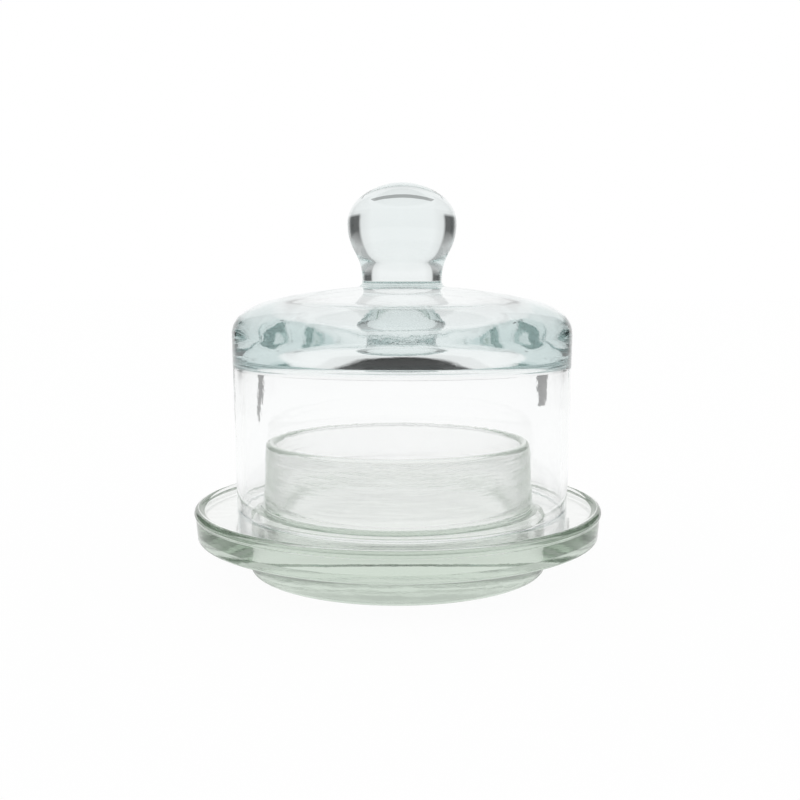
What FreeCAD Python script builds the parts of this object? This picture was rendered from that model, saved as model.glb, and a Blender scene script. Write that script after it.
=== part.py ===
import FreeCAD, Part
import os
from math import acos, atan2, hypot, pi, sqrt
import Sketcher

# Covered glass dish in two loose pieces of solid pressed glass.
# dish: low foot, thick plate with a beaded lip, and a round cup rising from the plate's middle.
# dome: the lid, a straight wall under a thick top, with a solid knob grown out of it.
# Millimetres, +Z up, origin at the centre of the foot's flat underside.

DRIVING = [
    ("foot_radius", 43.9), ("foot_top_radius", 43.2), ("foot_edge_round", 0.8),
    ("plate_under", 10.2), ("plate_flat", 18.3),
    ("plate_low_radius", 59.1), ("plate_side_radius", 59.7), ("plate_edge_round", 0.6),
    ("bead_tube", 1.45), ("bead_radius", 58.55), ("bead_height", 17.6), ("bead_blend", 0.6),
    ("cup_base_radius", 40.1), ("cup_rim_radius", 38.9), ("cup_height", 38.1),
    ("cup_mouth_radius", 36.1), ("cup_floor_radius", 35.4), ("cup_floor", 17.4),
    ("cup_floor_round", 4.1), ("cup_rim_round", 1.3), ("cup_base_round", 1.5),
    ("dome_shift", 1.24),
    ("dome_inner_radius", 47.0), ("dome_rim_radius", 48.8), ("dome_rim_round", 0.7),
    ("wall_top", 41.2), ("corner_arc", 4.0), ("cove_arc", 34.8),
    ("ceiling_arc", 85.0), ("ceiling_height", 58.5),
    ("shoulder_radius", 49.6), ("shoulder_height", 50.9), ("shoulder_arc", 7.4),
    ("haunch_arc", 19.8), ("crown_arc", 177.6), ("crown_apex", 64.9),
    ("neck_radius", 11.6), ("neck_height", 66.4), ("neck_blend", 1.75),
    ("knob_radius", 15.9), ("knob_height", 82.5), ("knob_side_arc", 9.8), ("knob_top", 94.5),
]

TOLERANCE = 1e-3

doc = FreeCAD.newDocument("covered_glass_dish")
sheet = doc.addObject("Spreadsheet::Sheet", "Dimensions")
for row, (alias, value) in enumerate(DRIVING, start=1):
    sheet.set("A%d" % row, alias.replace("_", " "))
    sheet.set("B%d" % row, str(value))
    sheet.setAlias("B%d" % row, alias)
doc.recompute()
D = {alias: float(getattr(sheet, alias)) for alias, value in DRIVING}


def vec(x, y):
    return FreeCAD.Vector(x, y, 0)


def new_body(label):
    body = doc.addObject("PartDesign::Body", label)
    body.Label = label
    return body


def new_profile(body, name):
    """A sketch on the body's own XZ plane: its x is the radius, its y the height."""
    sketch = body.newObject("Sketcher::SketchObject", name)
    planes = [o for o in body.Origin.OriginFeatures if o.Role == "XZ_Plane"]
    sketch.AttachmentSupport = [(planes[0], "")]
    sketch.MapMode = "FlatFace"
    return sketch


def bind(sketch, index, name, formula):
    """Name a dimension of the sketch and drive it from the sheet."""
    sketch.renameConstraint(index, name)
    sketch.setExpression("Constraints." + name, formula)


def place_point(sketch, geo, end, name, radius, height):
    """Fix a vertex at a radius and a height, each a formula or None where it is on an axis."""
    if radius is None:
        sketch.addConstraint(Sketcher.Constraint("PointOnObject", geo, end, -2))
    else:
        value = evaluate(radius)
        index = sketch.addConstraint(Sketcher.Constraint("DistanceX", -1, 1, geo, end, value))
        bind(sketch, index, name + "_r", radius)
    if height is None:
        sketch.addConstraint(Sketcher.Constraint("PointOnObject", geo, end, -1))
    else:
        value = evaluate(height)
        index = sketch.addConstraint(Sketcher.Constraint("DistanceY", -1, 1, geo, end, value))
        bind(sketch, index, name + "_z", height)


def evaluate(formula):
    """The number that a sum or difference of sheet cells gives."""
    total = 0.0
    for term in formula.replace("- ", "-").replace("+ ", "").split():
        sign = -1.0 if term.startswith("-") else 1.0
        total += sign * D[term.lstrip("-").replace("Dimensions.", "")]
    return total


def cell(alias):
    return "Dimensions." + alias


def closed_polygon(sketch, corners):
    """A closed outline of straight lines through named corners (name, radius, height)."""
    places = []
    for name, radius, height in corners:
        r = evaluate(radius) if radius else 0.0
        z = evaluate(height) if height else 0.0
        places.append(vec(r, z))
    count = len(places)
    for i in range(count):
        sketch.addGeometry(Part.LineSegment(places[i], places[(i + 1) % count]), False)
    for i in range(count):
        sketch.addConstraint(Sketcher.Constraint("Coincident", i, 2, (i + 1) % count, 1))
    for i, (name, radius, height) in enumerate(corners):
        place_point(sketch, i, 1, name, radius, height)


def revolve(body, sketch, name):
    turned = body.newObject("PartDesign::Revolution", name)
    turned.Profile = sketch
    turned.ReferenceAxis = (sketch, ["V_Axis"])
    turned.Angle = 360.0
    doc.recompute()
    return turned


def ring_edges(feature, rings):
    """The names of the circular edges at the given (radius, height) pairs."""
    names = []
    for radius, height in rings:
        for number, edge in enumerate(feature.Shape.Edges, start=1):
            if edge.Degenerated or edge.Curve.TypeId != "Part::GeomCircle":
                continue
            curve = edge.Curve
            if abs(curve.Radius - radius) < TOLERANCE and abs(curve.Center.z - height) < TOLERANCE:
                names.append("Edge%d" % number)
                break
        else:
            raise RuntimeError("no ring of radius %.3f at height %.3f" % (radius, height))
    return names


def round_rings(body, base, name, rings, alias):
    """Fillet the rings of the base feature by the sheet's radius."""
    fillet = body.newObject("PartDesign::Fillet", name)
    fillet.Base = (base, ring_edges(base, rings))
    fillet.Radius = D[alias]
    fillet.setExpression("Radius", cell(alias))
    doc.recompute()
    return fillet


def bead_joints():
    """Where the bead's round section leaves the plate's flat, and where it meets the plate's side."""
    tube = D["bead_tube"]
    step = D["plate_flat"] - D["bead_height"]
    inside = (D["bead_radius"] - sqrt(tube ** 2 - step ** 2), D["plate_flat"])
    run = D["plate_low_radius"] - D["plate_side_radius"]
    drop = D["plate_under"] - D["bead_height"]
    ahead = D["plate_side_radius"] - D["bead_radius"]
    # Distance down the slanting side, as a part of its length, at which it is one tube radius away.
    square = run ** 2 + drop ** 2
    half = ahead * run
    part = (-half + sqrt(half ** 2 - square * (ahead ** 2 - tube ** 2))) / square
    outside = (D["plate_side_radius"] + part * run, D["bead_height"] + part * drop)
    return inside, outside


def make_dish():
    body = new_body("dish")
    profile = new_profile(body, "dish_profile")
    closed_polygon(profile, [
        ("foot_centre", None, None),
        ("foot_edge", cell("foot_radius"), None),
        ("foot_top", cell("foot_top_radius"), cell("plate_under")),
        ("plate_low", cell("plate_low_radius"), cell("plate_under")),
        ("plate_side", cell("plate_side_radius"), cell("bead_height")),
        ("bead_core", cell("bead_radius"), cell("bead_height")),
        ("plate_top", cell("bead_radius"), cell("plate_flat")),
        ("cup_base", cell("cup_base_radius"), cell("plate_flat")),
        ("cup_rim", cell("cup_rim_radius"), cell("cup_height")),
        ("cup_mouth", cell("cup_mouth_radius"), cell("cup_height")),
        ("cup_corner", cell("cup_floor_radius"), cell("cup_floor")),
        ("cup_middle", None, cell("cup_floor")),
    ])
    turned = revolve(body, profile, "dish_turned")

    bead_profile = new_profile(body, "bead_profile")
    centre = vec(D["bead_radius"], D["bead_height"])
    bead_profile.addGeometry(Part.Circle(centre, FreeCAD.Vector(0, 0, 1), D["bead_tube"]), False)
    place_point(bead_profile, 0, 3, "bead", cell("bead_radius"), cell("bead_height"))
    tube = bead_profile.addConstraint(Sketcher.Constraint("Radius", 0, D["bead_tube"]))
    bind(bead_profile, tube, "bead_tube", cell("bead_tube"))
    beaded = revolve(body, bead_profile, "dish_beaded")

    rim = [(D["cup_rim_radius"], D["cup_height"]), (D["cup_mouth_radius"], D["cup_height"])]
    shape = round_rings(body, beaded, "bead_blended", bead_joints(), "bead_blend")
    shape = round_rings(body, shape, "rim_rounded", rim, "cup_rim_round")
    shape = round_rings(body, shape, "floor_rounded",
                        [(D["cup_floor_radius"], D["cup_floor"])], "cup_floor_round")
    shape = round_rings(body, shape, "cup_base_rounded",
                        [(D["cup_base_radius"], D["plate_flat"])], "cup_base_round")
    shape = round_rings(body, shape, "foot_rounded",
                        [(D["foot_radius"], 0.0)], "foot_edge_round")
    shape = round_rings(body, shape, "plate_rounded",
                        [(D["plate_low_radius"], D["plate_under"])], "plate_edge_round")
    body.Tip = shape
    return body


def meeting_points(first, first_radius, second, second_radius):
    """The two points that lie on both circles."""
    dx, dy = second[0] - first[0], second[1] - first[1]
    span = hypot(dx, dy)
    along = (span ** 2 + first_radius ** 2 - second_radius ** 2) / (2 * span)
    aside = sqrt(first_radius ** 2 - along ** 2)
    foot = (first[0] + along * dx / span, first[1] + along * dy / span)
    offset = (-aside * dy / span, aside * dx / span)
    return ((foot[0] + offset[0], foot[1] + offset[1]),
            (foot[0] - offset[0], foot[1] - offset[1]))


def angle_at(centre, point):
    return atan2(point[1] - centre[1], point[0] - centre[0])


def add_arc(sketch, centre, radius, start_angle, end_angle):
    circle = Part.Circle(vec(*centre), FreeCAD.Vector(0, 0, 1), radius)
    return sketch.addGeometry(Part.ArcOfCircle(circle, start_angle, end_angle), False)


def add_line(sketch, start, end):
    return sketch.addGeometry(Part.LineSegment(vec(*start), vec(*end)), False)


def fix_radius(sketch, geo, alias):
    index = sketch.addConstraint(Sketcher.Constraint("Radius", geo, D[alias]))
    bind(sketch, index, alias, cell(alias))


def draw_dome_outline(sketch):
    """Half of the dome's section, from its rim at height 0 to the top of the knob."""
    # Shoulder, haunch and crown: three arcs that run into each other, the crown's centre on the axis.
    shoulder = (D["shoulder_radius"] - D["shoulder_arc"], D["shoulder_height"])
    crown = (0.0, D["crown_apex"] - D["crown_arc"])
    haunch = min(meeting_points(shoulder, D["haunch_arc"] - D["shoulder_arc"],
                                crown, D["crown_arc"] - D["haunch_arc"]))
    rim = (D["dome_rim_radius"], 0.0)
    reach = hypot(rim[0] - shoulder[0], rim[1] - shoulder[1])
    wall_angle = angle_at(shoulder, rim) + acos(D["shoulder_arc"] / reach)
    haunch_angle = angle_at(haunch, shoulder)
    crown_angle = angle_at(crown, haunch)

    # Neck and the knob's underside: two equal arcs, one hollow and one full.
    swell = D["knob_radius"] - D["neck_radius"]
    rise = D["knob_height"] - D["neck_height"]
    neck_arc = (rise ** 2 + swell ** 2) / (4 * swell)
    neck = (D["neck_radius"] + neck_arc, D["neck_height"])
    under = (D["knob_radius"] - neck_arc, D["knob_height"])
    neck_foot = min(meeting_points(crown, D["crown_arc"], neck, neck_arc))
    turn_angle = angle_at(under, neck)

    # The knob's side and its flatter top.
    side = (D["knob_radius"] - D["knob_side_arc"], D["knob_height"])
    dome_rise = D["knob_top"] - D["knob_height"]
    top_arc = ((side[0] ** 2 + dome_rise ** 2 - D["knob_side_arc"] ** 2)
               / (2 * (dome_rise - D["knob_side_arc"])))
    top = (0.0, D["knob_top"] - top_arc)
    top_angle = angle_at(top, side)

    # Inside: the ceiling's wide arc, the cove and the tighter corner run down into the wall.
    inner = D["dome_inner_radius"]
    corner = (inner - D["corner_arc"], D["wall_top"])
    ceiling = (0.0, D["ceiling_height"] - D["ceiling_arc"])
    cove = min(meeting_points(corner, D["cove_arc"] - D["corner_arc"],
                              ceiling, D["ceiling_arc"] - D["cove_arc"]))
    cove_angle = angle_at(cove, corner)
    ceiling_angle = angle_at(ceiling, cove)

    wall_top = (shoulder[0] + D["shoulder_arc"], shoulder[1])
    g_rim = add_line(sketch, (inner, 0.0), rim)
    g_wall = add_line(sketch, rim, wall_top)
    g_shoulder = add_arc(sketch, shoulder, D["shoulder_arc"], wall_angle, haunch_angle)
    g_haunch = add_arc(sketch, haunch, D["haunch_arc"], haunch_angle, crown_angle)
    g_crown = add_arc(sketch, crown, D["crown_arc"], crown_angle, angle_at(crown, neck_foot))
    g_neck = add_arc(sketch, neck, neck_arc, turn_angle + pi, 2 * pi + angle_at(neck, neck_foot))
    g_under = add_arc(sketch, under, neck_arc, turn_angle, 0.0)
    g_side = add_arc(sketch, side, D["knob_side_arc"], 0.0, top_angle)
    g_top = add_arc(sketch, top, top_arc, top_angle, pi / 2)
    g_axis = add_line(sketch, (0.0, D["knob_top"]), (0.0, D["ceiling_height"]))
    g_ceiling = add_arc(sketch, ceiling, D["ceiling_arc"], ceiling_angle, pi / 2)
    g_cove = add_arc(sketch, cove, D["cove_arc"], cove_angle, ceiling_angle)
    g_corner = add_arc(sketch, corner, D["corner_arc"], 0.0, cove_angle)
    g_inside = add_line(sketch, (inner, D["wall_top"]), (inner, 0.0))
    g_apex = sketch.addGeometry(Part.Point(vec(0.0, D["crown_apex"])), True)
    g_waist = sketch.addGeometry(Part.Point(vec(D["neck_radius"], D["neck_height"])), True)

    start, end, middle = 1, 2, 3
    for kind, first, first_end, second, second_end in [
        ("Coincident", g_rim, end, g_wall, start),
        ("Tangent", g_wall, end, g_shoulder, start),
        ("Tangent", g_shoulder, end, g_haunch, start),
        ("Tangent", g_haunch, end, g_crown, start),
        ("Coincident", g_crown, end, g_neck, end),
        ("Tangent", g_neck, start, g_under, start),
        ("Tangent", g_under, end, g_side, start),
        ("Tangent", g_side, end, g_top, start),
        ("Coincident", g_top, end, g_axis, start),
        ("Coincident", g_axis, end, g_ceiling, end),
        ("Tangent", g_ceiling, start, g_cove, end),
        ("Tangent", g_cove, start, g_corner, end),
        ("Tangent", g_corner, start, g_inside, start),
        ("Coincident", g_inside, end, g_rim, start),
    ]:
        sketch.addConstraint(Sketcher.Constraint(kind, first, first_end, second, second_end))

    place_point(sketch, g_rim, start, "rim_inside", cell("dome_inner_radius"), None)
    place_point(sketch, g_rim, end, "rim_outside", cell("dome_rim_radius"), None)
    place_point(sketch, g_corner, middle, "corner",
                cell("dome_inner_radius") + " - " + cell("corner_arc"), cell("wall_top"))
    place_point(sketch, g_axis, start, "knob_tip", None, cell("knob_top"))
    place_point(sketch, g_axis, end, "ceiling_middle", None, cell("ceiling_height"))
    place_point(sketch, g_shoulder, middle, "shoulder",
                cell("shoulder_radius") + " - " + cell("shoulder_arc"), cell("shoulder_height"))
    place_point(sketch, g_apex, start, "apex", None, cell("crown_apex"))
    place_point(sketch, g_waist, start, "waist", cell("neck_radius"), cell("neck_height"))
    place_point(sketch, g_under, end, "knob_side", cell("knob_radius"), cell("knob_height"))
    for geo, alias in [(g_shoulder, "shoulder_arc"), (g_haunch, "haunch_arc"),
                       (g_crown, "crown_arc"), (g_side, "knob_side_arc"),
                       (g_ceiling, "ceiling_arc"), (g_cove, "cove_arc"), (g_corner, "corner_arc")]:
        fix_radius(sketch, geo, alias)
    for geo in (g_crown, g_top, g_ceiling):
        sketch.addConstraint(Sketcher.Constraint("PointOnObject", geo, middle, -2))
    sketch.addConstraint(Sketcher.Constraint("PointOnObject", g_apex, start, g_crown))
    sketch.addConstraint(Sketcher.Constraint("PointOnObject", g_waist, start, g_neck))
    sketch.addConstraint(Sketcher.Constraint("Horizontal", g_neck, middle, g_waist, start))
    sketch.addConstraint(Sketcher.Constraint("Horizontal", g_under, middle, g_under, end))
    sketch.addConstraint(Sketcher.Constraint("Equal", g_neck, g_under))
    return neck_foot


def make_dome():
    body = new_body("dome")
    profile = new_profile(body, "dome_profile")
    neck_foot = draw_dome_outline(profile)
    doc.recompute()
    turned = revolve(body, profile, "dome_turned")
    shape = round_rings(body, turned, "neck_blended", [neck_foot], "neck_blend")
    shape = round_rings(body, shape, "rim_edges_rounded",
                        [(D["dome_inner_radius"], 0.0), (D["dome_rim_radius"], 0.0)],
                        "dome_rim_round")
    body.Tip = shape
    # The dome stands on the plate's flat, a little to one side of the dish's axis.
    body.setExpression("Placement.Base.x", cell("dome_shift"))
    body.setExpression("Placement.Base.z", cell("plate_flat"))
    return body


def check(bodies):
    """Stop on a failed object or a bad shape, before anything is written."""
    doc.recompute()
    for thing in doc.Objects:
        if "Invalid" in thing.State or "Error" in thing.State:
            raise RuntimeError("%s failed: %s" % (thing.Name, thing.State))
    for sketch in doc.findObjects("Sketcher::SketchObject"):
        if sketch.solve() != 0:
            raise RuntimeError("sketch %s has no solution" % sketch.Name)
    for body in bodies:
        if body.Shape.isNull() or not body.Shape.isValid() or len(body.Shape.Solids) != 1:
            raise RuntimeError("%s is not one valid solid" % body.Label)


bodies = [make_dish(), make_dome()]
check(bodies)

overlap = bodies[0].Shape.common(bodies[1].Shape).Volume
if overlap > TOLERANCE:
    raise RuntimeError("the dome and the dish overlap by %.3f mm3" % overlap)

os.makedirs("parts", exist_ok=True)
for body in bodies:
    body.Shape.exportStep(os.path.join("parts", body.Label + ".step"))
    box = body.Shape.BoundBox
    print("%s: volume %.0f mm3, z %.2f to %.2f, width %.2f"
          % (body.Label, body.Shape.Volume, box.ZMin, box.ZMax, box.XLength))
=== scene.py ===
from math import acos, atan2, ceil, cos, hypot, pi, radians, sin, sqrt, tau

import bpy
from bpy.props import FloatProperty, FloatVectorProperty, IntProperty, PointerProperty
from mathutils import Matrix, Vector


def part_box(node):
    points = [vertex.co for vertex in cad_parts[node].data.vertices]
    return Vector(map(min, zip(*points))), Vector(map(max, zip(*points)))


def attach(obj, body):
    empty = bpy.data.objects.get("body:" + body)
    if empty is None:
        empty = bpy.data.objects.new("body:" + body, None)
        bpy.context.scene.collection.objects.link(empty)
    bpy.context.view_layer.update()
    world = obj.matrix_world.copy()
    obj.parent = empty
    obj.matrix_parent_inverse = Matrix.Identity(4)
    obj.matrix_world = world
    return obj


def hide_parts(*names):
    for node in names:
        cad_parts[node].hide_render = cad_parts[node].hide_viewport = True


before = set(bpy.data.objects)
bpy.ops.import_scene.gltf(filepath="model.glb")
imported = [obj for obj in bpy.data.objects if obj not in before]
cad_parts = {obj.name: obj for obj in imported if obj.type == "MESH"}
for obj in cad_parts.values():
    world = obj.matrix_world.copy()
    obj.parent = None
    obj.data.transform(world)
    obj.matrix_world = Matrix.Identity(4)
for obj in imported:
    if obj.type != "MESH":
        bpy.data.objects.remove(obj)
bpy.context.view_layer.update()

bl_info = {
    "name": "Covered Glass Dish",
    "version": (1, 0, 0),
    "blender": (4, 5, 0),
    "location": "View3D > Sidebar > Glass Dish",
    "description": "Makes a footed glass dish, its glass dome and a bright studio round them",
    "category": "Add Mesh",
}

DISH_LOW, DISH_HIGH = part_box("dish")
DOME_LOW, DOME_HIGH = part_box("dome")
MM = 0.001


# ---------------------------------------------------------------- sizes and colours

def length(name, description, millimetres):
    return FloatProperty(name=name, description=description, default=millimetres * MM,
                         unit="LENGTH", precision=5)


class GLASSDISH_PG_dish(bpy.types.PropertyGroup):
    """Sizes of the footed dish: radii from its axis, heights from the floor"""
    foot_radius: length("Foot radius", "Radius of the foot at the floor", 43.9)
    foot_round: length("Foot rounding", "Rounding of the foot's lower edge", 0.8)
    foot_top_radius: length("Foot top radius", "Radius of the foot under the plate", 43.2)
    foot_top_round: length("Foot top rounding", "Hollow rounding where the foot meets the plate", 0.5)
    plate_under: length("Plate underside", "Height of the plate's underside", 10.2)
    plate_flat: length("Plate flat", "Height of the plate's flat top", 18.3)
    plate_low_radius: length("Plate low radius", "Radius at the plate's lower edge", 59.1)
    plate_edge_round: length("Plate edge rounding", "Rounding of the plate's lower edge", 0.6)
    plate_side_radius: length("Plate side radius", "Radius of the plate's side under the bead", 59.7)
    bead_tube: length("Bead section", "Radius of the lip's round section", 1.45)
    bead_radius: length("Bead radius", "Radius of the circle the bead follows", 58.53)
    bead_height: length("Bead height", "Height of the bead's centre", 17.6)
    bead_blend: length("Bead blend", "Hollow rounding each side of the bead", 0.6)
    cup_base_radius: length("Cup base radius", "Outer radius where the cup leaves the plate", 40.1)
    cup_base_round: length("Cup base rounding", "Hollow rounding where the cup meets the plate", 1.5)
    cup_rim_radius: length("Cup rim radius", "Outer radius at the cup's rim", 38.9)
    cup_rim_round: length("Cup rim rounding", "Rounding of the rim's two edges", 1.3)
    cup_mouth_radius: length("Cup mouth radius", "Inner radius at the cup's rim", 36.1)
    cup_floor_radius: length("Cup floor radius", "Inner radius at the cup's floor", 35.4)
    cup_floor_round: length("Cup floor rounding", "Hollow rounding inside the cup", 4.1)
    cup_floor: length("Cup floor", "Height of the cup's floor", 17.4)
    cup_height: length("Cup height", "Height of the cup's rim", 38.1)


class GLASSDISH_PG_dome(bpy.types.PropertyGroup):
    """Sizes of the dome: radii from its axis, heights from its rim"""
    inner_radius: length("Inner radius", "Radius of the inside wall", 47.0)
    rim_radius: length("Rim radius", "Outer radius at the rim", 48.8)
    rim_round: length("Rim rounding", "Rounding of the rim's two edges", 0.7)
    wall_top: length("Wall top", "Height at which the inside wall turns in", 41.2)
    corner_arc: length("Corner arc", "Tight rounding where the inside wall turns in", 4.0)
    cove_arc: length("Cove arc", "Rounding between corner and ceiling", 34.8)
    ceiling_arc: length("Ceiling arc", "Wide rounding of the ceiling", 85.0)
    ceiling: length("Ceiling", "Height of the middle of the ceiling inside", 58.5)
    shoulder_radius: length("Shoulder radius", "Largest radius, at the shoulder", 49.6)
    shoulder_height: length("Shoulder height", "Height of the largest radius", 50.9)
    shoulder_arc: length("Shoulder arc", "Rounding of the shoulder", 7.4)
    haunch_arc: length("Haunch arc", "Rounding between shoulder and crown", 19.8)
    crown_arc: length("Crown arc", "Wide rounding of the top", 177.6)
    crown_apex: length("Crown apex", "Height at which the crown's arc meets the axis", 64.9)
    neck_radius: length("Neck radius", "Smallest radius of the neck", 11.6)
    neck_height: length("Neck height", "Height of the neck's waist", 66.4)
    neck_blend: length("Neck blend", "Hollow rounding at the neck's foot", 1.75)
    knob_radius: length("Knob radius", "Largest radius of the knob", 15.9)
    knob_height: length("Knob height", "Height of the knob's largest radius", 82.5)
    knob_side_arc: length("Knob side arc", "Rounding of the knob's upper side", 9.8)
    knob_top: length("Knob top", "Height of the knob's top", 94.5)


class GLASSDISH_PG_glass(bpy.types.PropertyGroup):
    """Colours of the two glasses, as absorption in each metre of glass"""
    dish_absorption: FloatVectorProperty(
        name="Dish absorption", description="What each metre of the dish's glass takes out",
        default=(0.69, 0.77, 0.69), subtype="COLOR", size=3, min=0.0, max=1.0)
    dish_density: FloatProperty(
        name="Dish density", description="Strength of the dish's tint", default=14.0)
    dome_absorption: FloatVectorProperty(
        name="Dome absorption", description="What each metre of the dome's glass takes out",
        default=(0.61, 0.735, 0.73), subtype="COLOR", size=3, min=0.0, max=1.0)
    dome_density: FloatProperty(
        name="Dome density", description="Strength of the dome's tint", default=14.0)
    segments: IntProperty(
        name="Segments", description="Faces round each turned piece", default=288, min=24)


def dish_sizes():
    return bpy.context.scene.glassdish_dish


def dome_sizes():
    return bpy.context.scene.glassdish_dome


def glass_settings():
    return bpy.context.scene.glassdish_glass


# ---------------------------------------------------------------- turning tools

SHORT_STEP = 0.15 * MM      # a short face beside each rounding, so that flats stay flat when shaded
LONG_STEP = 1.3 * MM        # length of face along a section
ARC_STEP = radians(7)       # turn of face along a rounding
SAME_PLACE = 0.002 * MM     # vertices nearer than this are one


def deselect_all():
    if bpy.context.object and bpy.context.object.mode != "OBJECT":
        bpy.ops.object.mode_set(mode="OBJECT")
    bpy.ops.object.select_all(action="DESELECT")


class Section:
    """A half section drawn with one moving vertex in the XZ plane, then spun into a solid.

    A place is (radius, height) from the piece's own axis and base."""

    def __init__(self, name, axis_x, base_z, start):
        deselect_all()
        self.axis_x, self.base_z = axis_x, base_z
        bpy.ops.mesh.primitive_plane_add(size=MM, location=self.world(start), enter_editmode=True)
        self.piece = bpy.context.object
        self.piece.name = self.piece.data.name = name
        bpy.ops.mesh.select_all(action="SELECT")
        bpy.ops.mesh.merge(type="CENTER")
        self.place = start

    def world(self, place):
        return (self.axis_x + place[0], 0.0, self.base_z + place[1])

    def step_to(self, place):
        move = (place[0] - self.place[0], 0.0, place[1] - self.place[1])
        bpy.ops.mesh.extrude_region_move(TRANSFORM_OT_translate={"value": move})
        self.place = place

    def line_to(self, place, step=LONG_STEP):
        """Straight faces, with a short one at each end."""
        start = Vector(self.place)
        run = Vector(place) - start
        if run.length > 3 * SHORT_STEP:
            ends = SHORT_STEP / run.length
            count = max(1, ceil(run.length / step))
            parts = [ends + (1 - 2 * ends) * i / count for i in range(count + 1)]
            for part in parts:
                self.step_to(tuple(start + run * part))
        self.step_to(tuple(place))

    def arc_to(self, centre, place, clockwise=False):
        """Faces along an arc about a centre, from the current place to a new one."""
        first = atan2(self.place[1] - centre[1], self.place[0] - centre[0])
        last = atan2(place[1] - centre[1], place[0] - centre[0])
        turn = (last - first) % tau
        if clockwise:
            turn -= tau
        radius = hypot(place[0] - centre[0], place[1] - centre[1])
        count = max(2, ceil(abs(turn) / ARC_STEP), ceil(abs(turn) * radius / LONG_STEP))
        bpy.ops.mesh.spin(steps=count, angle=turn, center=self.world(centre), axis=(0, 1, 0))
        self.place = place

    def spin(self, segments):
        """Turn the section round its axis and close its seam and its poles."""
        bpy.ops.mesh.select_all(action="SELECT")
        bpy.ops.mesh.spin(steps=segments, angle=tau, center=(self.axis_x, 0, 0), axis=(0, 0, 1))
        bpy.ops.mesh.select_all(action="SELECT")
        bpy.ops.mesh.remove_doubles(threshold=SAME_PLACE)
        bpy.ops.mesh.normals_make_consistent(inside=False)
        bpy.ops.object.mode_set(mode="OBJECT")
        bpy.ops.object.transform_apply(location=True, rotation=True, scale=True)
        bpy.ops.object.shade_smooth()
        return self.piece


def meeting_points(first, first_radius, second, second_radius):
    """The two places that lie on both circles."""
    dx, dy = second[0] - first[0], second[1] - first[1]
    span = hypot(dx, dy)
    along = (span ** 2 + first_radius ** 2 - second_radius ** 2) / (2 * span)
    aside = sqrt(first_radius ** 2 - along ** 2)
    foot = (first[0] + along * dx / span, first[1] + along * dy / span)
    return ((foot[0] - aside * dy / span, foot[1] + aside * dx / span),
            (foot[0] + aside * dy / span, foot[1] - aside * dx / span))


def toward(start, end, distance):
    """The place a distance from start towards end."""
    span = hypot(end[0] - start[0], end[1] - start[1])
    return (start[0] + (end[0] - start[0]) * distance / span,
            start[1] + (end[1] - start[1]) * distance / span)


def rounded(before, at, after, radius):
    """A rounded corner between two straight lines: its first place, its centre and its last place."""
    a = (Vector(before) - Vector(at)).normalized()
    b = (Vector(after) - Vector(at)).normalized()
    half = a.angle(b) / 2
    reach = radius * cos(half) / sin(half)
    middle = (a + b).normalized() * (radius / sin(half))
    return (tuple(Vector(at) + a * reach), tuple(Vector(at) + middle), tuple(Vector(at) + b * reach))


def is_clockwise(before, at, after):
    """True if a walk through the three places turns right, seen with radius across and height up."""
    return ((at[0] - before[0]) * (after[1] - at[1]) - (at[1] - before[1]) * (after[0] - at[0])) < 0


def walk_corners(section, corners, end):
    """Walk a line through rounded corners, each (place, rounding), up to a plain end."""
    places = [section.place] + [place for place, radius in corners] + [end]
    for i, (place, radius) in enumerate(corners, start=1):
        first, centre, last = rounded(places[i - 1], place, places[i + 1], radius)
        section.line_to(first)
        section.arc_to(centre, last, clockwise=is_clockwise(places[i - 1], place, places[i + 1]))
    section.line_to(end)


# ---------------------------------------------------------------- glass

GLASS_IOR = 1.5
EVEN = (1, 1, 1)        # noise alike in all directions

# Broad waves in the surfaces. Scales of noise are in features to the metre.
WAVE_SCALE = 55
DISH_WAVES = 0.045 * MM
DOME_WAVES = 0.12 * MM
# Finer unevenness: scale and depth.
FINE_WAVES = ((230, 0.010 * MM), (1100, 0.0035 * MM))

# Handling marks, a little rougher than the glass between them.
MARK_SCALE = 160
MARK_DETAIL = 4.0
MARK_CONTRAST = 3.0
MARK_ROUGHNESS = 0.05

# Level streaks on the cup, 14 times as close upwards as along.
STREAK_STRETCH = (1, 1, 14)
STREAK_SCALE = 48
STREAK_DETAIL = 5.0
STREAK_DEPTH = 0.10 * MM
STREAK_ROUGHNESS = 0.10
STREAK_EDGE = 1 * MM    # width over which they die out
RIM_CLEAR = 1.5 * MM    # what they leave clear below the rim


def grey(shade):
    return (shade, shade, shade, 1)


def new_material(name):
    material = bpy.data.materials.new(name)
    material.use_nodes = True
    return material, material.node_tree.nodes, material.node_tree.links


def math_node(nodes, links, operation, *values):
    """A Math node of sockets and plain numbers; gives its output."""
    node = nodes.new("ShaderNodeMath")
    node.operation = operation
    for value, socket in zip(values, node.inputs):
        if isinstance(value, (int, float)):
            socket.default_value = value
        else:
            links.new(value, socket)
    return node.outputs[0]


def distance_node(nodes, links, x, y):
    """Distance of a place from the upright axis."""
    square = math_node(nodes, links, "ADD", math_node(nodes, links, "MULTIPLY", x, x),
                       math_node(nodes, links, "MULTIPLY", y, y))
    return math_node(nodes, links, "SQRT", square)


def noise_node(nodes, links, coordinates, stretch, scale, detail=2.0):
    """Noise on stretched Object coordinates; scale is in features to the metre."""
    mapping = nodes.new("ShaderNodeMapping")
    mapping.inputs["Scale"].default_value = stretch
    links.new(coordinates, mapping.inputs["Vector"])
    noise = nodes.new("ShaderNodeTexNoise")
    noise.inputs["Scale"].default_value = scale
    noise.inputs["Detail"].default_value = detail
    links.new(mapping.outputs["Vector"], noise.inputs["Vector"])
    return noise.outputs["Fac"]


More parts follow.
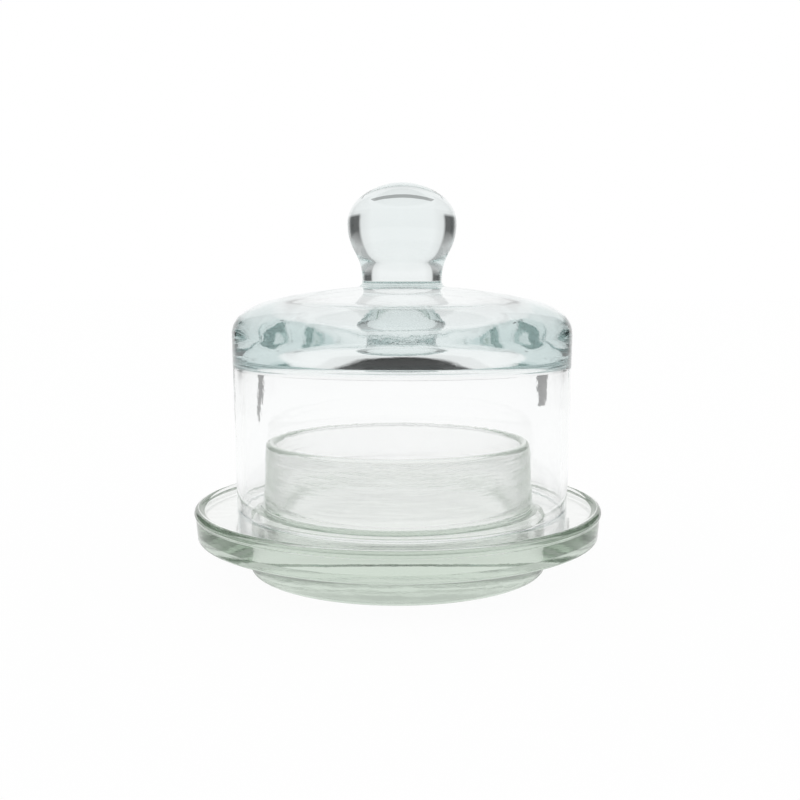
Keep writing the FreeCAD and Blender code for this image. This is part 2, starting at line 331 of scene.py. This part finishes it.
def bump_node(nodes, links, height, depth, under=None, share=None):
    """A Bump node on top of an earlier normal, its strength led by a share where one is given."""
    bump = nodes.new("ShaderNodeBump")
    bump.inputs["Distance"].default_value = depth
    bump.inputs["Strength"].default_value = 1.0
    if share is not None:
        links.new(share, bump.inputs["Strength"])
    links.new(height, bump.inputs["Height"])
    if under is not None:
        links.new(under, bump.inputs["Normal"])
    return bump.outputs["Normal"]


def between(nodes, links, value, low, high, edge):
    """1 where a value lies from low to high, falling to 0 over an edge outside them."""
    rise = nodes.new("ShaderNodeMapRange")
    rise.inputs["From Min"].default_value = low - edge
    rise.inputs["From Max"].default_value = low
    fall = nodes.new("ShaderNodeMapRange")
    fall.inputs["From Min"].default_value = high + edge
    fall.inputs["From Max"].default_value = high
    links.new(value, rise.inputs["Value"])
    links.new(value, fall.inputs["Value"])
    return math_node(nodes, links, "MULTIPLY", rise.outputs[0], fall.outputs[0])


def glass(name, absorption, density, wave_depth):
    """Clear pressed glass, tinted by its thickness, with soft waves and a few handling marks."""
    material, nodes, links = new_material(name)
    shader = nodes["Principled BSDF"]
    shader.inputs["Base Color"].default_value = grey(1)
    shader.inputs["Transmission Weight"].default_value = 1.0
    shader.inputs["IOR"].default_value = GLASS_IOR
    place = nodes.new("ShaderNodeTexCoord").outputs["Object"]
    marks = noise_node(nodes, links, place, EVEN, MARK_SCALE, MARK_DETAIL)
    marks = math_node(nodes, links, "POWER", marks, MARK_CONTRAST)
    links.new(math_node(nodes, links, "MULTIPLY", marks, MARK_ROUGHNESS), shader.inputs["Roughness"])
    normal = bump_node(nodes, links, noise_node(nodes, links, place, EVEN, WAVE_SCALE), wave_depth)
    for scale, depth in FINE_WAVES:
        normal = bump_node(nodes, links, noise_node(nodes, links, place, EVEN, scale), depth, normal)
    links.new(normal, shader.inputs["Normal"])
    tint = nodes.new("ShaderNodeVolumeAbsorption")
    tint.inputs["Color"].default_value = (*absorption, 1)
    tint.inputs["Density"].default_value = density
    links.new(tint.outputs["Volume"], nodes["Material Output"].inputs["Volume"])
    return material


def streak_cup(material, s, axis_x, base_z):
    """Fine level streaks on the cup's wall, left by its mould, which make the wall look milky."""
    nodes, links = material.node_tree.nodes, material.node_tree.links
    shader = nodes["Principled BSDF"]
    place = nodes.new("ShaderNodeTexCoord").outputs["Object"]
    parts = nodes.new("ShaderNodeSeparateXYZ")
    links.new(place, parts.inputs[0])
    across = math_node(nodes, links, "SUBTRACT", parts.outputs["X"], axis_x)
    radius = distance_node(nodes, links, across, parts.outputs["Y"])
    low, high = base_z + s.plate_flat + STREAK_EDGE, base_z + s.cup_height - RIM_CLEAR
    wall = math_node(
        nodes, links, "MULTIPLY",
        between(nodes, links, radius, s.cup_floor_radius - STREAK_EDGE, s.cup_base_radius, STREAK_EDGE),
        between(nodes, links, parts.outputs["Z"], low, high, STREAK_EDGE))
    streaks = noise_node(nodes, links, place, STREAK_STRETCH, STREAK_SCALE, STREAK_DETAIL)
    plain_normal = shader.inputs["Normal"].links[0].from_socket
    links.new(bump_node(nodes, links, streaks, STREAK_DEPTH, plain_normal, wall), shader.inputs["Normal"])
    plain_roughness = shader.inputs["Roughness"].links[0].from_socket
    haze = math_node(nodes, links, "MULTIPLY", wall, STREAK_ROUGHNESS)
    links.new(math_node(nodes, links, "ADD", plain_roughness, haze), shader.inputs["Roughness"])


def dress(piece, material):
    piece.data.materials.clear()
    piece.data.materials.append(material)


# ---------------------------------------------------------------- the dish

def bead_blends(s):
    """Centres of the two hollow roundings beside the bead: inside on the flat, outside on the side."""
    reach = s.bead_tube + s.bead_blend
    rise = s.plate_flat + s.bead_blend - s.bead_height
    inside = (s.bead_radius - sqrt(reach ** 2 - rise ** 2), s.plate_flat + s.bead_blend)
    run = s.plate_side_radius - s.plate_low_radius
    climb = s.bead_height - s.plate_under
    slant = hypot(run, climb)
    out = (climb / slant, -run / slant)
    # A line beside the plate's side, one blend away, cut by the circle round the bead.
    start = Vector((s.plate_low_radius + out[0] * s.bead_blend, s.plate_under + out[1] * s.bead_blend))
    along = Vector((run / slant, climb / slant))
    gap = Vector((s.bead_radius, s.bead_height)) - start
    near = gap.dot(along) - sqrt(gap.dot(along) ** 2 - gap.length_squared + reach ** 2)
    outside = start + along * near
    touch = outside - Vector(out) * s.bead_blend
    return inside, tuple(outside), tuple(touch)


class GLASSDISH_OT_dish(bpy.types.Operator):
    """Model the footed dish with its cup, and dress it in pale green glass"""
    bl_idname = "glassdish.dish"
    bl_label = "Footed dish"

    def execute(self, context):
        s, settings = dish_sizes(), glass_settings()
        centre_x = (DISH_LOW[0] + DISH_HIGH[0]) / 2
        section = Section("footed_dish", centre_x, DISH_LOW[2], (0.0, 0.0))
        bead = (s.bead_radius, s.bead_height)
        inside, outside, side_touch = bead_blends(s)
        walk_corners(section, [
            ((s.foot_radius, 0.0), s.foot_round),
            ((s.foot_top_radius, s.plate_under), s.foot_top_round),
            ((s.plate_low_radius, s.plate_under), s.plate_edge_round),
        ], side_touch)
        section.arc_to(outside, toward(outside, bead, s.bead_blend), clockwise=True)
        section.arc_to(bead, toward(bead, inside, s.bead_tube))
        section.arc_to(inside, (inside[0], s.plate_flat), clockwise=True)
        walk_corners(section, [
            ((s.cup_base_radius, s.plate_flat), s.cup_base_round),
            ((s.cup_rim_radius, s.cup_height), s.cup_rim_round),
            ((s.cup_mouth_radius, s.cup_height), s.cup_rim_round),
            ((s.cup_floor_radius, s.cup_floor), s.cup_floor_round),
        ], (0.0, s.cup_floor))
        piece = section.spin(settings.segments)
        material = glass("green_glass", settings.dish_absorption, settings.dish_density, DISH_WAVES)
        streak_cup(material, s, centre_x, DISH_LOW[2])
        dress(piece, material)
        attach(piece, "root")
        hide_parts("dish")
        return {"FINISHED"}


# ---------------------------------------------------------------- the dome

REST_GAP = 0.02 * MM        # keeps the faces of rim and plate from lying in one plane


class GLASSDISH_OT_dome(bpy.types.Operator):
    """Model the dome with its solid knob, and dress it in pale blue-green glass"""
    bl_idname = "glassdish.dome"
    bl_label = "Dome and knob"

    def execute(self, context):
        s, settings = dome_sizes(), glass_settings()
        axis_x = (DOME_LOW[0] + DOME_HIGH[0]) / 2
        section = Section("domed_lid", axis_x, DOME_LOW[2], (0.0, s.ceiling))
        rim = (s.rim_radius, REST_GAP)
        shoulder = (s.shoulder_radius - s.shoulder_arc, s.shoulder_height)
        crown = (0.0, s.crown_apex - s.crown_arc)
        haunch = min(meeting_points(shoulder, s.haunch_arc - s.shoulder_arc,
                                    crown, s.crown_arc - s.haunch_arc))
        reach = hypot(rim[0] - shoulder[0], rim[1] - shoulder[1])
        touch = atan2(rim[1] - shoulder[1], rim[0] - shoulder[0]) + acos(s.shoulder_arc / reach)
        wall_top = (shoulder[0] + s.shoulder_arc * cos(touch), shoulder[1] + s.shoulder_arc * sin(touch))
        ceiling = (0.0, s.ceiling - s.ceiling_arc)
        corner = (s.inner_radius - s.corner_arc, s.wall_top)
        cove = min(meeting_points(corner, s.cove_arc - s.corner_arc,
                                  ceiling, s.ceiling_arc - s.cove_arc))
        section.arc_to(ceiling, toward(ceiling, cove, s.ceiling_arc), clockwise=True)
        section.arc_to(cove, toward(cove, corner, s.cove_arc), clockwise=True)
        section.arc_to(corner, (s.inner_radius, s.wall_top), clockwise=True)
        walk_corners(section, [
            ((s.inner_radius, REST_GAP), s.rim_round),
            (rim, s.rim_round),
        ], wall_top)
        section.arc_to(shoulder, toward(haunch, shoulder, s.haunch_arc))
        section.arc_to(haunch, toward(crown, haunch, s.crown_arc))

        swell = s.knob_radius - s.neck_radius
        rise = s.knob_height - s.neck_height
        neck_arc = (rise ** 2 + swell ** 2) / (4 * swell)
        neck = (s.neck_radius + neck_arc, s.neck_height)
        under = (s.knob_radius - neck_arc, s.knob_height)
        blend = min(meeting_points(crown, s.crown_arc + s.neck_blend, neck, neck_arc - s.neck_blend),
                    key=lambda place: abs(place[0] - s.neck_radius))
        section.arc_to(crown, toward(crown, blend, s.crown_arc))
        section.arc_to(blend, toward(neck, blend, neck_arc), clockwise=True)
        section.arc_to(neck, toward(neck, under, neck_arc), clockwise=True)
        section.arc_to(under, (s.knob_radius, s.knob_height))
        side = (s.knob_radius - s.knob_side_arc, s.knob_height)
        cap_rise = s.knob_top - s.knob_height
        top_arc = ((side[0] ** 2 + cap_rise ** 2 - s.knob_side_arc ** 2)
                   / (2 * (cap_rise - s.knob_side_arc)))
        top = (0.0, s.knob_top - top_arc)
        section.arc_to(side, toward(top, side, top_arc))
        section.arc_to(top, (0.0, s.knob_top))
        piece = section.spin(settings.segments)
        dress(piece, glass("blue_green_glass", settings.dome_absorption, settings.dome_density,
                           DOME_WAVES))
        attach(piece, "root")
        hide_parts("dome")
        return {"FINISHED"}


# ---------------------------------------------------------------- the stage

LONGEST_PATH = 64       # bounces a ray may take

FLOOR_RADIUS = 4.0
FLOOR_HEIGHT = -0.05 * MM
FLOOR_COLOUR = 0.9
FLOOR_GLOW = 0.965      # share of the floor's own white, the rest takes the object's shadow
FLOOR_SIDES = 96

SURROUND_RADIUS = 0.5
SURROUND_HEIGHT = 0.6
SURROUND_SIDES = 180
TABLE_HEIGHT = -0.02 * MM

# Shade of the wall round the object by azimuth in degrees, 0 straight behind and 180 in front,
# the same on the left and on the right.
WALL_SHADES = (
    (0, 1.0), (22, 1.0), (34, 0.86), (36, 0.5), (38, 0.10), (56, 0.08), (62, 0.30), (76, 0.50),
    (86, 0.70), (98, 0.75), (116, 0.50), (170, 0.50), (180, 0.65),
)
# How the dark parts of those shades fade, above and below: height where the fade starts,
# height where it ends, and the shade it ends in.
WALL_FADES = ((0.160, 0.300, 0.50), (0.045, 0.020, 0.95))
# Painted shade: a table card, seen only through the glass, darker in rings round the object where it
# stands in for shade on the floor near it; its shades by distance from its middle, in millimetres.
TABLE_PAINTED_SHADE = (
    (0, 1.0), (54, 0.92), (75, 0.95), (105, 0.92), (111, 0.74), (142, 0.74), (165, 0.95), (180, 1.0),
    (500, 1.0),
)
# The same for the overhead card, which is dark but for its edge.
OVERHEAD_SHADES = ((0, 0.0), (325, 0.0), (375, 0.85), (500, 0.9))

# Small cards near the object: corners, middle, turn, size, shade. A card with four corners is as
# wide and as long as its size, and one with three has its size as radius.
NEAR_CARDS = (
    # Lies behind the knob and draws the arc under its top.
    (4, (0, 138 * MM, 50 * MM), (0, 0, 0), (112 * MM, 28 * MM), 0.48),
    # Stand behind the dome and draw the dark strips at the corners of its wall.
    (3, (-58.8 * MM, 75 * MM, 47.3 * MM), (-pi / 2, 0, 0), (3.2 * MM, 14.3 * MM), 0.15),
    (4, (60.6 * MM, 75 * MM, 47.5 * MM), (pi / 2, 0, 0), (6.0 * MM, 14 * MM), 0.15),
)

CAMERA_PLACE = (0.00065, -0.3156, 0.0856)
CAMERA_PITCH = radians(6.56)    # looking down
CAMERA_LENS = 48.18             # on a sensor 36 wide
CAMERA_SENSOR = 36
CAMERA_NEAR = 0.01

# Sockets of a Mix node for colours, which it gives no names of their own.
MIX_FACTOR, MIX_A, MIX_B, MIX_RESULT = 0, 6, 7, 2


def seen_by(nodes, links, kinds):
    """1 where a ray is one of the given kinds of Light Path, else 0."""
    path = nodes.new("ShaderNodeLightPath")
    total = path.outputs[kinds[0]]
    for kind in kinds[1:]:
        total = math_node(nodes, links, "MAXIMUM", total, path.outputs[kind])
    return total


def add_floor():
    """A white floor that keeps a faint shadow of the object.

    Seen straight or through the glass it glows like the backdrop."""
    deselect_all()
    bpy.ops.mesh.primitive_circle_add(vertices=FLOOR_SIDES, radius=FLOOR_RADIUS, fill_type="NGON",
                                      location=(0, 0, FLOOR_HEIGHT))
    floor = bpy.context.object
    floor.name = "floor"
    material, nodes, links = new_material("pale_floor")
    shader = nodes["Principled BSDF"]
    shader.inputs["Base Color"].default_value = grey(FLOOR_COLOUR)
    shader.inputs["Roughness"].default_value = 1.0
    shader.inputs["Specular IOR Level"].default_value = 0.0
    glow = nodes.new("ShaderNodeEmission")
    seen = seen_by(nodes, links, ("Is Camera Ray", "Is Glossy Ray", "Is Transmission Ray"))
    mix = nodes.new("ShaderNodeMixShader")
    links.new(math_node(nodes, links, "MULTIPLY", seen, FLOOR_GLOW), mix.inputs["Fac"])
    links.new(shader.outputs["BSDF"], mix.inputs[1])
    links.new(glow.outputs["Emission"], mix.inputs[2])
    links.new(mix.outputs["Shader"], nodes["Material Output"].inputs["Surface"])
    dress(floor, material)


def shaded_by(nodes, links, value, stops, span):
    """A glow whose shade follows a value through stops of (value, shade), the value from 0 to span."""
    ramp = nodes.new("ShaderNodeValToRGB")
    elements = ramp.color_ramp.elements
    elements[0].position, elements[1].position = stops[0][0] / span, stops[-1][0] / span
    elements[0].color, elements[1].color = grey(stops[0][1]), grey(stops[-1][1])
    for place, shade in stops[1:-1]:
        elements.new(place / span).color = grey(shade)
    links.new(math_node(nodes, links, "DIVIDE", value, span), ramp.inputs["Fac"])
    glow = nodes.new("ShaderNodeEmission")
    links.new(ramp.outputs["Color"], glow.inputs["Color"])
    return glow.outputs["Emission"]


def stand_unseen(card, material):
    """Dress a card of the stage that only the glass sees."""
    dress(card, material)
    card.visible_camera = False
    card.visible_diffuse = False
    card.visible_shadow = False


def card_material(name, glow_of):
    """A glowing material; glow_of makes its glow from the three Object coordinates."""
    material, nodes, links = new_material(name)
    place = nodes.new("ShaderNodeSeparateXYZ")
    links.new(nodes.new("ShaderNodeTexCoord").outputs["Object"], place.inputs[0])
    links.new(glow_of(nodes, links, *place.outputs), nodes["Material Output"].inputs["Surface"])
    return material


def wall_glow(nodes, links, x, y, z):
    """The wall's shades by azimuth, fading above and below."""
    aside = math_node(nodes, links, "ABSOLUTE", x)
    azimuth = math_node(nodes, links, "ARCTAN2", aside, y)
    glow = shaded_by(nodes, links, math_node(nodes, links, "MULTIPLY", azimuth, 180 / pi),
                     WALL_SHADES, 180)
    colour = glow.node.inputs["Color"].links[0].from_socket
    for start, end, shade in WALL_FADES:
        fade = nodes.new("ShaderNodeMapRange")
        fade.inputs["From Min"].default_value = start - SURROUND_HEIGHT / 2
        fade.inputs["From Max"].default_value = end - SURROUND_HEIGHT / 2
        links.new(z, fade.inputs["Value"])
        lift = nodes.new("ShaderNodeMix")
        lift.data_type = "RGBA"
        lift.blend_type = "LIGHTEN"
        links.new(fade.outputs[0], lift.inputs[MIX_FACTOR])
        links.new(colour, lift.inputs[MIX_A])
        lift.inputs[MIX_B].default_value = grey(shade)
        colour = lift.outputs[MIX_RESULT]
    links.new(colour, glow.node.inputs["Color"])
    return glow


def disc_glow(stops):
    """Shades by distance from the middle in millimetres."""
    def glow(nodes, links, x, y, z):
        distance = math_node(nodes, links, "MULTIPLY", distance_node(nodes, links, x, y), 1 / MM)
        return shaded_by(nodes, links, distance, stops, SURROUND_RADIUS / MM)

    return glow


def flat_glow(shade):
    """One shade all over."""
    def glow(nodes, links, x, y, z):
        emission = nodes.new("ShaderNodeEmission")
        emission.inputs["Color"].default_value = grey(shade)
        return emission.outputs["Emission"]

    return glow


def add_surround():
    """A ring of wall, a table with painted shade round the object and an overhead card, which only the
    glass sees and takes its darks from.
    """
    deselect_all()
    bpy.ops.mesh.primitive_cylinder_add(vertices=SURROUND_SIDES, radius=SURROUND_RADIUS,
                                        depth=SURROUND_HEIGHT, end_fill_type="NOTHING",
                                        location=(0, 0, SURROUND_HEIGHT / 2))
    wall = bpy.context.object
    wall.name = "surround_wall"
    stand_unseen(wall, card_material("wall_shades", wall_glow))
    # The table card holds painted shade: its darker rings stand in for shade on the floor round the
    # object.
    for name, height, stops in (("painted_shade_table", TABLE_HEIGHT, TABLE_PAINTED_SHADE),
                                ("surround_overhead", SURROUND_HEIGHT, OVERHEAD_SHADES)):
        deselect_all()
        bpy.ops.mesh.primitive_circle_add(vertices=SURROUND_SIDES, radius=SURROUND_RADIUS,
                                          fill_type="NGON", location=(0, 0, height))
        card = bpy.context.object
        card.name = name
        stand_unseen(card, card_material(name + "_shades", disc_glow(stops)))


def add_near_card(corners, place, rotation, size, shade):
    deselect_all()
    if corners == 4:
        bpy.ops.mesh.primitive_plane_add(size=1.0, location=place, rotation=rotation)
    else:
        bpy.ops.mesh.primitive_circle_add(vertices=corners, radius=1.0, fill_type="NGON",
                                          location=place, rotation=rotation)
    card = bpy.context.object
    card.name = "near_card"
    card.scale = (*size, 1)
    stand_unseen(card, card_material("flat_shade", flat_glow(shade)))


def add_world():
    world = bpy.data.worlds.new("studio")
    bpy.context.scene.world = world
    world.use_nodes = True
    background = world.node_tree.nodes["Background"]
    background.inputs["Color"].default_value = grey(1)
    background.inputs["Strength"].default_value = 1.0


def add_camera():
    deselect_all()
    bpy.ops.object.camera_add(location=CAMERA_PLACE, rotation=(pi / 2 - CAMERA_PITCH, 0, 0))
    camera = bpy.context.object
    camera.data.sensor_width = CAMERA_SENSOR
    camera.data.lens = CAMERA_LENS
    camera.data.clip_start = CAMERA_NEAR
    bpy.context.scene.camera = camera


class GLASSDISH_OT_stage(bpy.types.Operator):
    """Set up the pale floor, the white studio, the cards that only the glass sees, and the camera"""
    bl_idname = "glassdish.stage"
    bl_label = "Studio stage"

    def execute(self, context):
        add_floor()
        add_world()
        add_surround()
        for card in NEAR_CARDS:
            add_near_card(*card)
        add_camera()
        context.scene.view_settings.view_transform = "Standard"
        # Light turns back many times inside thick glass, so its paths are long.
        context.scene.cycles.max_bounces = LONGEST_PATH
        context.scene.cycles.transmission_bounces = LONGEST_PATH
        context.scene.cycles.glossy_bounces = LONGEST_PATH
        return {"FINISHED"}


# ---------------------------------------------------------------- panel and registration

class GLASSDISH_PT_panel(bpy.types.Panel):
    """Lists the pieces and their sizes"""
    bl_idname = "GLASSDISH_PT_panel"
    bl_label = "Glass Dish"
    bl_space_type = "VIEW_3D"
    bl_region_type = "UI"
    bl_category = "Glass Dish"

    def draw(self, context):
        layout = self.layout
        for name in STEPS:
            layout.operator("glassdish." + name)
        for group in (dish_sizes(), dome_sizes(), glass_settings()):
            box = layout.box()
            for key in group.__annotations__:
                box.prop(group, key)


STEPS = ("dish", "dome", "stage")
GROUPS = {
    "glassdish_dish": GLASSDISH_PG_dish,
    "glassdish_dome": GLASSDISH_PG_dome,
    "glassdish_glass": GLASSDISH_PG_glass,
}
CLASSES = (*GROUPS.values(), GLASSDISH_OT_dish, GLASSDISH_OT_dome, GLASSDISH_OT_stage,
           GLASSDISH_PT_panel)


def register():
    for cls in CLASSES:
        bpy.utils.register_class(cls)
    for name, group in GROUPS.items():
        setattr(bpy.types.Scene, name, PointerProperty(type=group))


def unregister():
    for name in GROUPS:
        delattr(bpy.types.Scene, name)
    for cls in reversed(CLASSES):
        bpy.utils.unregister_class(cls)


def main():
    register()
    for name in STEPS:
        getattr(bpy.ops.glassdish, name)()


if __name__ == "__main__":
    main()
